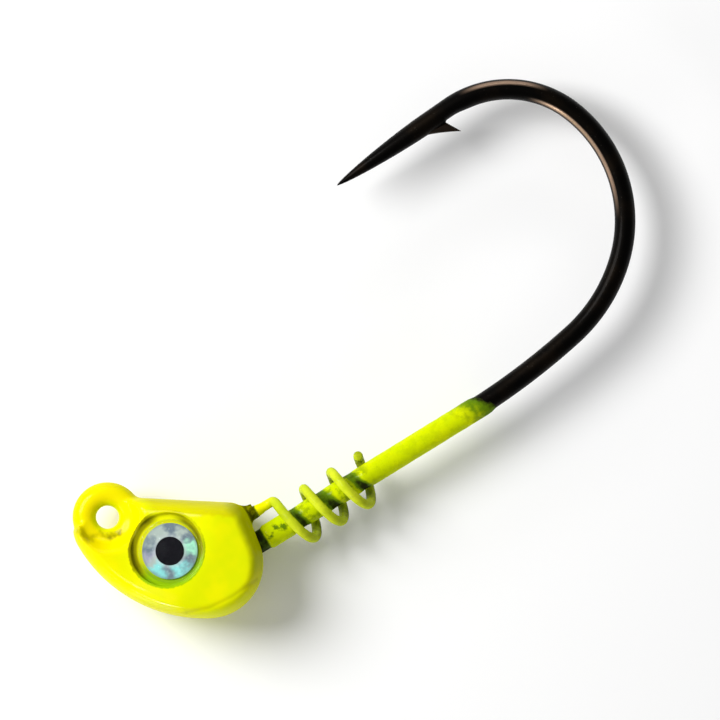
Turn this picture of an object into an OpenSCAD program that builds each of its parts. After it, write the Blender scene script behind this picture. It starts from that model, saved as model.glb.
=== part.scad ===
// Jig head: a painted lead fish head cast round a single hook, with a wire
// keeper spring on the shank and a domed holographic eye on each cheek.
//
// Frame, in millimetres: the origin is the centre of the line-tie hole and the
// hook lies in the XY plane. The shank runs along +X away from the head, the
// hook point is on the +Y side, and +Z is the normal of the hook's plane,
// which is the left cheek's side. The +Z and -Z cheeks mirror each other.

/* [Hook] */
// Diameter of the hook wire
wire_d = 1.8; // [1.6:0.05:1.85]
// How far the shank's axis lies below the line-tie hole
shank_drop = 8.4; // [8.2:0.1:8.6]
// Where the straight shank ends and the bend begins
shank_end = 30.05; // [28.05:0.25:34.05]
// Radius of the long, slow turn at the start of the bend
throat_r = 60; // [50:1:70]
// Radius of the second turn, which leads into the back of the bend
entry_r = 13.5; // [12:0.5:15]
// Radius of the back of the bend
back_r = 11.6; // [11:0.1:12.5]
// Radius of the last turn, under the point
crown_r = 8.6; // [8:0.1:9.5]
// Length of the straight spear from the bend to the tip
spear_l = 11.4; // [10:0.1:12.5]
// Length of the needle taper at the tip
needle_l = 8.8; // [7:0.1:9.5]
// How far the barb's tip stands from the spear's axis
barb_h = 2.2; // [1.8:0.1:2.4]

/* [Line tie] */
// Radius of the hole for the line, inside the paint
tie_r = 0.92; // [0.88:0.01:0.92]
// Length of the straight wall inside the painted hole
tie_land = 0.9; // [0.7:0.1:1]
// Radius of the line tie's ring, at the middle of its wire
ring_r = 1.93; // [1.93:0.01:2]

/* [Head] */
// Half the thickness of the head at the back of the cheeks
cheek_z = 4; // [3.8:0.1:4.2]
// Half the thickness of the head at the nose, beside the line tie
nose_z = 2.25; // [2.2:0.05:2.4]
// Radius of the long front edge, from the nose down to the chin
front_r = 12.2; // [12.1:0.05:12.3]
// Radius of the nose
nose_r = 2.75; // [2.7:0.05:2.9]
// Radius of the chin
chin_r = 4.6; // [4.5:0.05:4.7]
// Radius of the upper corner at the back of the head
nape_r = 1.8; // [1.6:0.1:2]
// How far the rounded edge reaches in from the outline
edge_in = 1.45; // [1.2:0.05:1.5]
// How square the rounded edge is in section: 2 is an ellipse, and more is squarer
edge_square = 2.5; // [2:0.1:3.5]

/* [Eyes] */
// Radius of the round socket in each cheek
socket_r = 3.05; // [3:0.05:3.1]
// Height of the socket's flat floor above the hook's plane, at its middle
socket_z = 2.6; // [2.55:0.05:2.65]
// How far the eye leans forward towards the line tie, in degrees
eye_tilt = 11; // [9:0.5:12]
// Radius of the holographic foil disc
foil_r = 2.35; // [2.2:0.05:2.4]
// Radius of the black pupil
pupil_r = 1.2; // [1:0.05:1.4]
// Radius of the clear dome over the eye
lens_r = 2.66; // [2.6:0.02:2.7]
// Height of the clear dome at its middle, above the socket's floor
lens_h = 1; // [0.85:0.05:1.1]

/* [Keeper] */
// Diameter of the painted keeper wire
keeper_wire_d = 0.85; // [0.75:0.05:0.95]
// Radius of the keeper coil at the middle of its wire
coil_r = 1.96; // [1.94:0.02:2.1]
// How far the coil's axis lies below the shank's
coil_sag = 0.15; // [0:0.05:0.15]
// How far the straight lead out of the head stands above the coil's top
lead_rise = 0.5; // [0:0.05:0.5]
// How far each turn leans back towards the head on the left cheek's side
coil_lean = 0.25; // [0:0.05:0.3]
// Distance from one coil turn to the next
coil_pitch = 2.66; // [2.5:0.02:2.8]
// Where the coil's first turn would cross above the shank
coil_start = 12.5; // [12.4:0.05:12.9]
// Number of coil turns, to the free end
coil_turns = 2.98; // [2.5:0.02:3.2]

/* [Paint] */
// Thickness of the paint on the wire
coat_t = 0.1; // [0.08:0.01:0.12]
// Thickness of the heavier paint on the stub behind the head
stub_coat_t = 0.18; // [0.15:0.01:0.3]
// Where the paint ends on the shank's axis
coat_end = 31.55; // [31:0.05:32.5]
// Slant of the paint's ragged end across the shank, in degrees
coat_slant = 40; // [0:1:45]

/* [Hidden] */
$fn = 64;

wire_r = wire_d / 2;
shank_y = -shank_drop;

// The wire from the line tie to the shank leans at the usual 60 degrees of a
// jig hook, and turns into the shank inside the head.
leg_lean = 60;
leg_bend_r = 2.5;
leg_l = (shank_drop - leg_bend_r * (1 - cos(leg_lean))) / sin(leg_lean);
shank_start = leg_l * cos(leg_lean) + leg_bend_r * sin(leg_lean);

// The hook's wire from the line tie's ring to the spear. A turn is its radius
// and its sweep in degrees, and a straight run is 0 and its length. All are
// tangent, and the last four turns bring the spear back almost parallel to the
// shank, with its tip a little nearer to it.
wire_run = [[0, leg_l - ring_r], [leg_bend_r, leg_lean], [0, shank_end - shank_start],
            [throat_r, 10.5], [entry_r, 32], [back_r, 67.5], [crown_r, 73]];
shank_run = 2;
last_run = len(wire_run) - 1;
// Each run starts this far inside the one before it and is a hair thinner, so
// that the joints nest.
nest = 0.05;
thinner = 0.005;
function run_r(i) = wire_r - thinner * (i + 1);

// Outline of the head: four round stretches, tangent to each other or joined
// by straight edges. The nose and the chin touch the long front arc inside.
front_c = [8.83, -1.05];
nose_at = 178.3;
chin_at = 241;
function polar(r, a) = [r * cos(a), r * sin(a)];
nose_c = front_c + polar(front_r - nose_r, nose_at);
chin_c = front_c + polar(front_r - chin_r, chin_at);
nape_c = [8.3, -5.75];
// Direction of the outward normal of the straight edge that joins the disc
// [p, rp] to the disc [q, rq], going anticlockwise round the outline.
function edge_normal(p, rp, q, rq) =
    atan2(q.y - p.y, q.x - p.x) - acos((rp - rq) / norm(q - p));
rear_at = edge_normal(chin_c, chin_r, nape_c, nape_r);
top_at = edge_normal(nape_c, nape_r, nose_c, nose_r);
// Each stretch: centre, radius, first angle, last angle, steps
outline_arcs = [[nose_c, nose_r, top_at, nose_at, 8],
                [front_c, front_r, nose_at, chin_at, 12],
                [chin_c, chin_r, chin_at, rear_at + 360, 9],
                [nape_c, nape_r, rear_at, top_at, 5]];
function outline(inset) =
    [for (arc = outline_arcs, i = [0 : arc[4]])
        arc[0] + polar(arc[1] - inset, arc[2] + (arc[3] - arc[2]) * i / arc[4])];

// Half the thickness of the head at a point: it swells evenly from the nose,
// beside the line tie, to the full cheek.
function smooth(t) = let (c = max(0, min(1, t))) c * c * (3 - 2 * c);
function half_z(p) = nose_z + (cheek_z - nose_z) * smooth((norm(p) - 1.5) / 8);

// The seat of the line tie's ring: on each side the head opens from the ring's
// own thickness in a steep cone.
seat_z = wire_r + coat_t + 0.03;
seat_r = 2;
seat_flare = 0.55;
seat_h = 4;

// Rings of the head's upper half from the outline up: first round the edge,
// then in across the cheek towards its middle.
cheek_c = [4.4, -6.3];
edge_steps = 6;
cheek_steps = 4;
function squared(v) = pow(v, 2 / edge_square);
function edge_ring(a) = [for (p = outline(edge_in * (1 - squared(cos(a)))))
    [p.x, p.y, half_z(p) * squared(sin(a))]];
function cheek_ring(s) = [for (q = outline(edge_in))
    let (p = cheek_c + (q - cheek_c) * s) [p.x, p.y, half_z(p)]];
upper_rings = concat(
    [for (i = [0 : edge_steps]) edge_ring(90 * i / edge_steps)],
    [for (i = [1 : cheek_steps - 1]) cheek_ring(1 - i / cheek_steps)]);
function flip_z(ring) = [for (p = ring) [p.x, p.y, -p.z]];
ring_n = len(outline(0));
levels = len(upper_rings);
cheek_top = [cheek_c.x, cheek_c.y, half_z(cheek_c)];
head_points = concat(
    [-cheek_top.z * [0, 0, 1] + [cheek_c.x, cheek_c.y, 0]],
    [for (i = [levels - 1 : -1 : 1]) each flip_z(upper_rings[i])],
    [for (i = [0 : levels - 1]) each upper_rings[i]],
    [cheek_top]);
rows = 2 * levels - 1;
last_point = len(head_points) - 1;
function at(row, i) = 1 + row * ring_n + i % ring_n;
head_faces = concat(
    [for (i = [0 : ring_n - 1]) [0, at(0, i), at(0, i + 1)]],
    [for (j = [0 : rows - 2], i = [0 : ring_n - 1]) each
        [[at(j, i), at(j + 1, i), at(j + 1, i + 1)],
         [at(j, i), at(j + 1, i + 1), at(j, i + 1)]]],
    [for (i = [0 : ring_n - 1]) [last_point, at(rows - 1, i + 1), at(rows - 1, i)]]);

// Small cast boss at the back of the head, where the keeper wire comes out
boss_r = 0.75;
boss_y = -5.92;
boss_end = 10.75;

// Ring coat: the outer half of the ring is painted only where it stands clear
// of the head, between these two directions.
ring_clear_from = -25;
ring_clear_to = 200;

// Shank coat: it starts just inside the head, is heavier along a short stub
// behind it, and ends part of the way round the slow turn
coat_start = 9.2;
stub_from = 10.4;
stub_to = 12.8;
coat_turn = 3.4;

// The socket's middle, and the eye's offset from it on the floor: the eye sits
// towards the back and the belly of its socket.
socket_c = [2.9, -4.95];
eye_offset = [0.1, -0.2];
// Thin layers under the clear dome
adhesive_t = 0.08;
foil_t = 0.12;
pupil_t = 0.05;
lens_rim_h = 0.5;
pupil_z = adhesive_t + foil_t;

// Path of the keeper wire: a straight lead out of the head, a soft corner and
// a right-hand helix round the shank. Both the advance along X and the turn
// round the shank change evenly through the corner.
turn_l = sqrt(pow(2 * PI * coil_r, 2) + pow(coil_pitch, 2));
advance = coil_pitch / turn_l;
corner_l = 0.75;
lead_in = 4.4;
keeper_l = coil_turns * turn_l;
coil_y = shank_y - coil_sag;
// The lead comes down to the coil's top over this stretch, through the corner
rise_end = 2;
rise_l = 2.1;
function rise(s) = lead_rise * smooth((rise_end - s) / rise_l);
// Share of the path, past length s, that has gone into the helix
function wound(s) = s <= -corner_l ? 0
    : s >= corner_l ? s
    : pow(s + corner_l, 2) / (4 * corner_l);
function keeper_at(s) =
    let (w = wound(s), turn = 360 * w / turn_l)
    [coil_start + s - (1 - advance) * w - coil_lean * sin(turn),
     coil_y + coil_r * cos(turn) + rise(s),
     coil_r * sin(turn)];
keeper_steps = concat([-lead_in, -2.5], [for (s = [-1.2 : 0.3 : 1.2]) s],
    [for (i = [1 : 70]) 1.2 + (keeper_l - 1.2) * i / 70]);
keeper_sides = 10;
function unit(v) = v / norm(v);
function keeper_ring(s) =
    let (t = unit(keeper_at(s + 0.01) - keeper_at(s - 0.01)),
         p = keeper_at(s),
         out = unit([0, p.y - coil_y, p.z]),
         side = unit(cross(t, out)),
         up = cross(side, t))
    [for (k = [0 : keeper_sides - 1])
        let (a = 360 * (k + 0.5) / keeper_sides)
        p + keeper_wire_d / 2 * (cos(a) * side + sin(a) * up)];
keeper_rows = len(keeper_steps);
keeper_last = keeper_rows * keeper_sides;
function knot(row, k) = row * keeper_sides + k % keeper_sides;
keeper_points = [for (s = keeper_steps) each keeper_ring(s)];
keeper_faces = concat(
    [[for (k = [keeper_sides - 1 : -1 : 0]) knot(0, k)]],
    [for (j = [0 : keeper_rows - 2], k = [0 : keeper_sides - 1]) each
        [[knot(j, k), knot(j + 1, k + 1), knot(j + 1, k)],
         [knot(j, k), knot(j, k + 1), knot(j + 1, k + 1)]]],
    [[for (k = [0 : keeper_sides - 1]) knot(keeper_rows - 1, k)]]);

// A rod along +X from x0 to x1
module rod(x0, x1, r) {
    translate([x0, 0, 0]) rotate([0, 90, 0]) cylinder(r = r, h = x1 - x0);
}

// A left-hand turn that starts at the origin, heading along +X
module turn(radius, sweep, r) {
    back = nest / radius * 180 / PI;
    translate([0, radius, 0]) rotate([0, 0, -90 - back])
        rotate_extrude(angle = sweep + back, $fn = 180) translate([radius, 0]) circle(r = r);
}

// Moves its children to the end of run i of the wire
module after_run(i) {
    size = wire_run[i][0];
    if (size == 0) translate([wire_run[i][1], 0, 0]) children();
    else translate([size * sin(wire_run[i][1]), size * (1 - cos(wire_run[i][1])), 0])
        rotate([0, 0, wire_run[i][1]]) children();
}

// The wire from its run i to its run last, and then the children
module wire_from(i, last) {
    if (wire_run[i][0] == 0) rod(-nest, wire_run[i][1], run_r(i));
    else turn(wire_run[i][0], wire_run[i][1], run_r(i));
    after_run(i) {
        if (i < last) wire_from(i + 1, last) children();
        else children();
    }
}

// Where the wire leaves the line tie's ring
module at_ring() {
    rotate([0, 0, -leg_lean]) translate([ring_r, 0, 0]) children();
}

// Share of the wire's radius left at a share t of the needle taper, whose
// sides bow out
function needle(t) = pow(1 - pow(t, 1.5), 0.7);

// The spear: straight wire, then the needle taper
module spear() {
    steps = 10;
    plain_l = spear_l - needle_l;
    r = run_r(last_run + 1);
    rotate([0, 90, 0]) rotate_extrude()
        polygon([[0, -nest], [r, -nest],
                 for (i = [0 : steps - 1]) [r * needle(i / steps), plain_l + needle_l * i / steps],
                 [0, spear_l]]);
}

// The barb: a sliver raised from the side of the spear that faces the shank,
// with its tip pointing back towards the bend. Each place is so far behind
// the spear's point.
module barb() {
    root = spear_l - 8.5;
    tip = spear_l - 11.1;
    notch = spear_l - 10.4;
    thick = 0.8;
    translate([0, 0, -thick / 2]) linear_extrude(thick)
        polygon([[root, 0.3], [root, wire_r - 0.06], [tip, barb_h], [notch, wire_r - 0.05],
                 [notch, 0.3]]);
}

// Round bar along the shank from x0, and on round the slow turn by sweep
module shank_bar(x0, sweep, r) {
    rod(x0, shank_end, r);
    translate([shank_end, 0, 0]) turn(throat_r, sweep, r - thinner);
}

// Painted stretch of the shank, as a tube: a heavier stub behind the head,
// an even coat along the shank, and a slanting end on the slow turn
module painted_tube() {
    translate([0, shank_y, 0]) difference() {
        union() {
            shank_bar(coat_start, coat_turn, wire_r + coat_t);
            rod(stub_from, stub_to, wire_r + stub_coat_t);
        }
        shank_bar(coat_start - 1, coat_turn + 1, run_r(shank_run));
        translate([coat_end, 0, -5]) rotate([0, 0, coat_slant]) translate([0, -5, 0]) cube(10);
    }
}

// Half of the ring coat's section: the inner half carries the hole's straight
// wall, and the outer half is plain
module coat_section(inner) {
    coat_r = wire_r + coat_t;
    difference() {
        union() {
            intersection() {
                translate([ring_r, 0]) circle(r = coat_r);
                translate([inner ? 0 : ring_r, -2]) square([inner ? ring_r : 2, 4]);
            }
            if (inner) translate([tie_r, -tie_land / 2]) square([0.3, tie_land]);
        }
        translate([ring_r, 0]) circle(r = wire_r);
    }
}

// The head's solid form before any hole or pocket is made in it
module head_blank() {
    polyhedron(points = head_points, faces = head_faces);
    translate([0, boss_y, 0]) rod(8.5, boss_end, boss_r);
}

// Places its children on the left socket's floor, which leans forward
module at_socket() {
    translate([socket_c.x, socket_c.y, socket_z])
        rotate(a = eye_tilt, v = [socket_c.y, -socket_c.x, 0]) children();
}

module at_eye() {
    at_socket() translate([eye_offset.x, eye_offset.y, 0]) children();
}

module socket() {
    at_socket() cylinder(r = socket_r, h = 3);
}

module ring_seat() {
    translate([0, 0, seat_z]) cylinder(r1 = seat_r, r2 = seat_r + seat_flare * seat_h, h = seat_h);
}

// Cast lead head, with the two sockets and the beds of the wires
module head_casting() {
    color("yellow") difference() {
        head_blank();
        translate([0, 0, -5]) cylinder(r = ring_r, h = 10);
        rotate([0, 0, ring_clear_from])
            rotate_extrude(angle = ring_clear_to - ring_clear_from)
                translate([ring_r - 0.5, -1.5]) square([wire_r + coat_t + 0.5, 3]);
        at_ring() wire_from(0, shank_run);
        translate([0, shank_y, 0]) rod(coat_start, boss_end, wire_r + coat_t);
        keeper_form();
        for (side = [0, 1]) mirror([0, 0, side]) {
            ring_seat();
            socket();
        }
    }
}

// Forged hook: line tie, leg, shank, bend, spear and barb in one wire
module hook() {
    color("black") {
        rotate_extrude($fn = 96) translate([ring_r, 0]) circle(r = wire_r);
        at_ring() wire_from(0, last_run) {
            spear();
            barb();
        }
    }
}

module keeper_form() {
    polyhedron(points = keeper_points, faces = keeper_faces);
}

// Keeper spring, which holds a soft bait on the shank
module keeper_spring() {
    color("yellowgreen") keeper_form();
}

// Paint on the line tie's ring
module line_tie_coat() {
    color("yellow") {
        rotate_extrude($fn = 96) coat_section(true);
        rotate([0, 0, ring_clear_from])
            rotate_extrude(angle = ring_clear_to - ring_clear_from, $fn = 96)
                coat_section(false);
    }
}

// Paint on the front part of the shank
module shank_coat() {
    color("yellowgreen") painted_tube();
}

module eye_adhesive() {
    color("white") at_eye() cylinder(r = foil_r, h = adhesive_t);
}

module eye_foil() {
    color("silver") at_eye() translate([0, 0, adhesive_t]) cylinder(r = foil_r, h = foil_t);
}

module eye_pupil() {
    color("black") at_eye() translate([0, 0, pupil_z]) cylinder(r = pupil_r, h = pupil_t);
}

// Clear dome: it caps the foil and reaches down to the socket's floor round it
module eye_lens() {
    dome_r = (pow(lens_r, 2) + pow(lens_h - lens_rim_h, 2)) / (2 * (lens_h - lens_rim_h));
    color("lightcyan", 0.35) at_eye() difference() {
        intersection() {
            cylinder(r = lens_r, h = lens_h);
            translate([0, 0, lens_h - dome_r]) sphere(r = dome_r, $fn = 240);
        }
        translate([0, 0, -1]) cylinder(r = foil_r, h = 1 + pupil_z);
        cylinder(r = pupil_r, h = pupil_z + pupil_t);
    }
}

// The right eye's pieces mirror the left eye's across the hook's plane
module right_side() {
    mirror([0, 0, 1]) children();
}

head_casting();
hook();
keeper_spring();
line_tie_coat();
shank_coat();
eye_adhesive();  // left_eye_adhesive
eye_foil();  // left_eye_foil
eye_pupil();  // left_eye_pupil
eye_lens();  // left_eye_lens
right_side() eye_adhesive();  // right_eye_adhesive
right_side() eye_foil();  // right_eye_foil
right_side() eye_pupil();  // right_eye_pupil
right_side() eye_lens();  // right_eye_lens
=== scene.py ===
"""Looks of the jig head: a painted lead fish head on a black-nickel hook.

The row's frame: the line-tie hole is the origin, the shank runs along +X, the
hook point is on the +Y side and the left cheek faces +Z. The lengths named
here are in millimetres, as in the CAD source, and the meshes are in metres.
"""

import math

import bpy
import numpy as np
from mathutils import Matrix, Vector, noise


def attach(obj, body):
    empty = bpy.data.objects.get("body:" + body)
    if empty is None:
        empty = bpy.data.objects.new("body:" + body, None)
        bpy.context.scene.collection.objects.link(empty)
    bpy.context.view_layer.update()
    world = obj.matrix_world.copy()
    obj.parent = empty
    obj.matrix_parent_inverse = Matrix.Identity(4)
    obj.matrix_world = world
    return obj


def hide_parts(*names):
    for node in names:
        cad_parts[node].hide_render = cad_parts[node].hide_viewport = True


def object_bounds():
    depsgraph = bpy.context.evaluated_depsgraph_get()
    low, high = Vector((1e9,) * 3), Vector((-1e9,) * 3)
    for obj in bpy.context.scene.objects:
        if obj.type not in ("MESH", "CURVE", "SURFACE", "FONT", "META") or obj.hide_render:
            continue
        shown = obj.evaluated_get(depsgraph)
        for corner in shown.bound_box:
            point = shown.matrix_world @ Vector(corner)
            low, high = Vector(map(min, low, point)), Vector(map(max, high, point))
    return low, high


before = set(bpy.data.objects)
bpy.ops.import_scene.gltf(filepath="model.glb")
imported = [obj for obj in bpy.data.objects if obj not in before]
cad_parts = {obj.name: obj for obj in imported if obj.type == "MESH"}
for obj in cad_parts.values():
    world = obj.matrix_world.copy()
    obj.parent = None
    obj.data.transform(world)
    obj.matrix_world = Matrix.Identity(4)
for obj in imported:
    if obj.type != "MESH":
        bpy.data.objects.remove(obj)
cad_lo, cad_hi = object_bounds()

MM = 0.001

# ---------------------------------------------------------------- sizes, as the CAD has them
WIRE_R = 0.9
SHANK_Y = -8.4
SHANK_END = 30.05
RING_R = 1.93
COAT_T = 0.1
LEG_LEAN = 60
LEG_BEND_R = 2.5
BEND = [(60, 10.5), (13.5, 32), (11.6, 67.5), (8.6, 73)]  # radius, sweep in degrees
SPEAR_L = 11.4
NEEDLE_L = 8.8
BARB_H = 2.2
BARB_ROOT, BARB_NOTCH, BARB_TIP = 8.5, 10.4, 11.1  # each so far behind the point
THINNER = 0.005  # the wire thins by this from each run to the next

CHEEK_Z = 4.0
NOSE_Z = 2.25
SWELL_FROM = 1.5
SWELL_L = 8
FRONT_R = 12.2
NOSE_R = 2.75
CHIN_R = 4.6
NAPE_R = 1.8
EDGE_IN = 1.45
EDGE_SQUARE = 2.5
FRONT_C = np.array([8.83, -1.05])
NOSE_AT = 178.3
CHIN_AT = 241
NAPE_C = np.array([8.3, -5.75])
BOSS_R = 0.75
BOSS_Y = -5.92
BOSS_START = 7.5
BOSS_END = 10.75

SOCKET_R = 3.05
SOCKET_Z = 2.6
SOCKET_C = np.array([2.9, -4.95])
EYE_OFFSET = np.array([0.1, -0.2])
EYE_TILT = 11
FOIL_R = 2.35
PUPIL_R = 1.2
LENS_R = 2.66
LENS_H = 1.0
LENS_RIM_H = 0.5
LENS_SHOULDER = 0.12  # radius of the dome's rounded shoulder
EYE_LAYERS = 0.25  # adhesive, foil and pupil together

KEEPER_R = 0.425
COIL_R = 1.96
COIL_Y = SHANK_Y - 0.15
LEAD_RISE = 0.5
RISE_END = 2.0
RISE_L = 2.1
COIL_LEAN = 0.25
COIL_PITCH = 2.66
COIL_START = 12.5
COIL_TURNS = 2.98
LEAD_IN = 4.4
CORNER_L = 0.75

COAT_START = 9.2
STUB_FROM = 10.4
STUB_TO = 12.8
STUB_T = 0.18
COAT_END = 31.55
FADE_SLANT = 32  # of the paint's ragged end across the shank, in degrees


# ---------------------------------------------------------------- small helpers
def polar(r, degrees):
    """The point at that distance and direction in the hook's plane."""
    a = math.radians(degrees)
    return np.array([r * math.cos(a), r * math.sin(a)])


def smooth_step(low, high, v):
    """0 at low and 1 at high, with a soft start and end; low may be the larger."""
    t = np.clip((v - low) / (high - low), 0, 1)
    return t * t * (3 - 2 * t)


def smooth_min(a, b, k):
    """The smaller of two fields, blended over a width k."""
    h = np.clip(0.5 + 0.5 * (b - a) / k, 0, 1)
    return b * (1 - h) + a * h - k * h * (1 - h)


def smooth_max(a, b, k):
    """The larger of two fields, blended over a width k."""
    return -smooth_min(-a, -b, k)


def noise_at(points, size, seed=0.0):
    """Soft noise from about -1 to 1, with lumps of that size, at points in mm."""
    return np.array([noise.noise(Vector(p) / size + Vector((seed, seed, seed))) for p in points])


def lumps(points, size, seed=0.0):
    """Three octaves of soft noise."""
    return (noise_at(points, size, seed) + 0.5 * noise_at(points, size / 2.1, seed + 7)
            + 0.25 * noise_at(points, size / 4.3, seed + 13)) / 1.4


def near_line(x, y, line):
    """Distance in the hook's plane from points to a run of straight pieces."""
    best = np.full(np.broadcast(x, y).shape, 1e9)
    for (ax, ay), (bx, by) in zip(line[:-1], line[1:]):
        dx, dy = bx - ax, by - ay
        t = np.clip(((x - ax) * dx + (y - ay) * dy) / (dx * dx + dy * dy), 0, 1)
        best = np.minimum(best, np.hypot(x - ax - t * dx, y - ay - t * dy))
    return best


def piece(name, verts, faces, material, attributes=None, body="root"):
    """A shown mesh from points in mm, riding on the part, with one smooth material."""
    mesh = bpy.data.meshes.new(name)
    mesh.from_pydata((np.asarray(verts) * MM).tolist(), [], [list(map(int, f)) for f in faces])
    mesh.update()
    for p in mesh.polygons:
        p.use_smooth = True
    for key, values in (attributes or {}).items():
        layer = mesh.attributes.new(key, "FLOAT", "POINT")
        layer.data.foreach_set("value", np.asarray(values, np.float32))
    mesh.materials.append(material)
    obj = bpy.data.objects.new(name, mesh)
    bpy.context.scene.collection.objects.link(obj)
    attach(obj, body)
    return obj


# ---------------------------------------------------------------- swept wires
def tube(centres, sides_dir, radii, sides):
    """A closed tube: for each centre, the direction of its first side and a radius
    (or one radius for each side)."""
    centres = np.asarray(centres, float)
    tangent = np.gradient(centres, axis=0)
    tangent /= np.linalg.norm(tangent, axis=1)[:, None]
    out = np.asarray(sides_dir, float)
    out = out - (out * tangent).sum(1)[:, None] * tangent
    out /= np.linalg.norm(out, axis=1)[:, None]
    up = np.cross(tangent, out)
    angle = 2 * math.pi * np.arange(sides) / sides
    radii = np.asarray(radii, float)
    if radii.ndim == 1:
        radii = np.repeat(radii[:, None], sides, 1)
    ring = (out[:, None, :] * np.cos(angle)[None, :, None]
            + up[:, None, :] * np.sin(angle)[None, :, None])
    verts = centres[:, None, :] + ring * radii[:, :, None]
    n = len(centres)
    rows = np.arange(n - 1)[:, None] * sides
    k = np.arange(sides)[None, :]
    nxt = (k + 1) % sides
    quads = np.stack([rows + k, rows + nxt, rows + sides + nxt, rows + sides + k], -1)
    faces = [tuple(q) for q in quads.reshape(-1, 4)]
    first, last = n * sides, n * sides + 1
    top = (n - 1) * sides
    faces += [(first, int(b), int(a)) for a, b in zip(k[0], nxt[0])]
    faces += [(last, int(top + a), int(top + b)) for a, b in zip(k[0], nxt[0])]
    verts = np.vstack([verts.reshape(-1, 3), centres[:1], centres[-1:]])
    return verts, faces


def follow(start, heading, runs, step):
    """Points and headings along straight runs (0, length) and left-hand turns (radius,
    degrees), with the run's number for each point."""
    p, a = np.array(start, float), math.radians(heading)
    points, headings, number = [p.copy()], [a], [0]
    for i, (radius, amount) in enumerate(runs):
        length = amount if radius == 0 else radius * math.radians(amount)
        n = max(2, int(math.ceil(length / step)))
        ds = length / n
        turn = 0 if radius == 0 else ds / radius
        chord = ds if radius == 0 else 2 * radius * math.sin(turn / 2)
        for _ in range(n):
            p = p + chord * np.array([math.cos(a + turn / 2), math.sin(a + turn / 2)])
            a += turn
            points.append(p.copy())
            headings.append(a)
            number.append(i)
    return np.array(points), np.array(headings), np.array(number)


# ---------------------------------------------------------------- the head's form as a field
def outline_points(steps=(26, 40, 30, 16)):
    """The head's outline: nose, long front arc, chin and nape, in that order."""
    nose_c = FRONT_C + polar(FRONT_R - NOSE_R, NOSE_AT)
    chin_c = FRONT_C + polar(FRONT_R - CHIN_R, CHIN_AT)

    def edge_normal(p, rp, q, rq):
        d = q - p
        return (math.degrees(math.atan2(d[1], d[0]))
                - math.degrees(math.acos((rp - rq) / math.hypot(*d))))

    rear_at = edge_normal(chin_c, CHIN_R, NAPE_C, NAPE_R)
    top_at = edge_normal(NAPE_C, NAPE_R, nose_c, NOSE_R)
    arcs = [(nose_c, NOSE_R, top_at, NOSE_AT), (FRONT_C, FRONT_R, NOSE_AT, CHIN_AT),
            (chin_c, CHIN_R, CHIN_AT, rear_at + 360), (NAPE_C, NAPE_R, rear_at, top_at)]
    points = [c + polar(r, a + (b - a) * i / n)
              for (c, r, a, b), n in zip(arcs, steps) for i in range(n + 1)]
    return np.array(points)


OUTLINE = outline_points()
REAR_FIRST, REAR_LAST = 88, 112  # its points from the back of the chin to the nape


def inset_of(x, y):
    """How far points lie inside the head's outline, and negative outside it."""
    best = np.full(np.broadcast(x, y).shape, 1e9)
    for p, q in zip(OUTLINE, np.roll(OUTLINE, -1, 0)):
        d = q - p
        length = math.hypot(*d)
        if length > 1e-6:
            best = np.minimum(best, ((y - p[1]) * d[0] - (x - p[0]) * d[1]) / length)
    return best


def half_thickness(x, y):
    """Half the head's thickness, which swells away from the line tie."""
    return NOSE_Z + (CHEEK_Z - NOSE_Z) * smooth_step(0, 1, (np.hypot(x, y) - SWELL_FROM) / SWELL_L)


# The eye's own directions: w is the socket's axis on the left cheek, which leans
# towards the line tie
tilt = math.radians(EYE_TILT)
to_nose = -SOCKET_C / np.linalg.norm(SOCKET_C)
EYE_W = np.array([to_nose[0] * math.sin(tilt), to_nose[1] * math.sin(tilt), math.cos(tilt)])
EYE_U = np.cross([0, 1, 0], EYE_W)
EYE_U /= np.linalg.norm(EYE_U)
EYE_V = np.cross(EYE_W, EYE_U)


def in_socket(x, y, z):
    """Coordinates in the frame of the socket on that point's own cheek."""
    dx, dy, dz = x - SOCKET_C[0], y - SOCKET_C[1], np.abs(z) - SOCKET_Z
    return tuple(dx * a[0] + dy * a[1] + dz * a[2] for a in (EYE_U, EYE_V, EYE_W))


# The rest of the head's form: the seat of the ring, which flares outwards, the
# shoulders, the boss, and the fine grooves
SEAT_Z = WIRE_R + COAT_T + 0.03
SEAT_R = 2.0
SEAT_FLARE = 0.62
SHOULDER_NORMAL = (0.075, 0.997)  # of the head's two shoulders beside the ring
SHOULDER_AT = 0.45
BOSS_TAPER = 0.16
BOSS_TAPER_FROM = 9.9
# widths over which these forms blend into the head, and the socket's own edges
SHOULDER_SOFT, SEAT_SOFT, RING_SOFT, BOSS_SOFT = 0.3, 0.35, 0.4, 0.5
FLOOR_SOFT, RIM_SOFT = 0.22, 0.14
SEAM_DEPTH, SEAM_WIDTH = 0.08, 0.26
CREASE_DEPTH, CREASE_WIDTH = 0.06, 0.2
SKIN_IN = 0.005  # keeps the shown wire just inside the CAD's own
HEAD_IN = 0.02  # and the head, whose CAD outline has flat facets
# The ragged joint between the line tie's ring and the head, under the paint
SEAM = [(-2.75, 0.55), (-2.62, 0.05), (-2.2, -0.75), (-1.35, -0.95), (-0.75, -1.5), (0.15, -1.72)]
CREASE = [(1.5, -10.2), (3.4, -10.85), (5.4, -11.05), (7.9, -10.9)]


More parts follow.
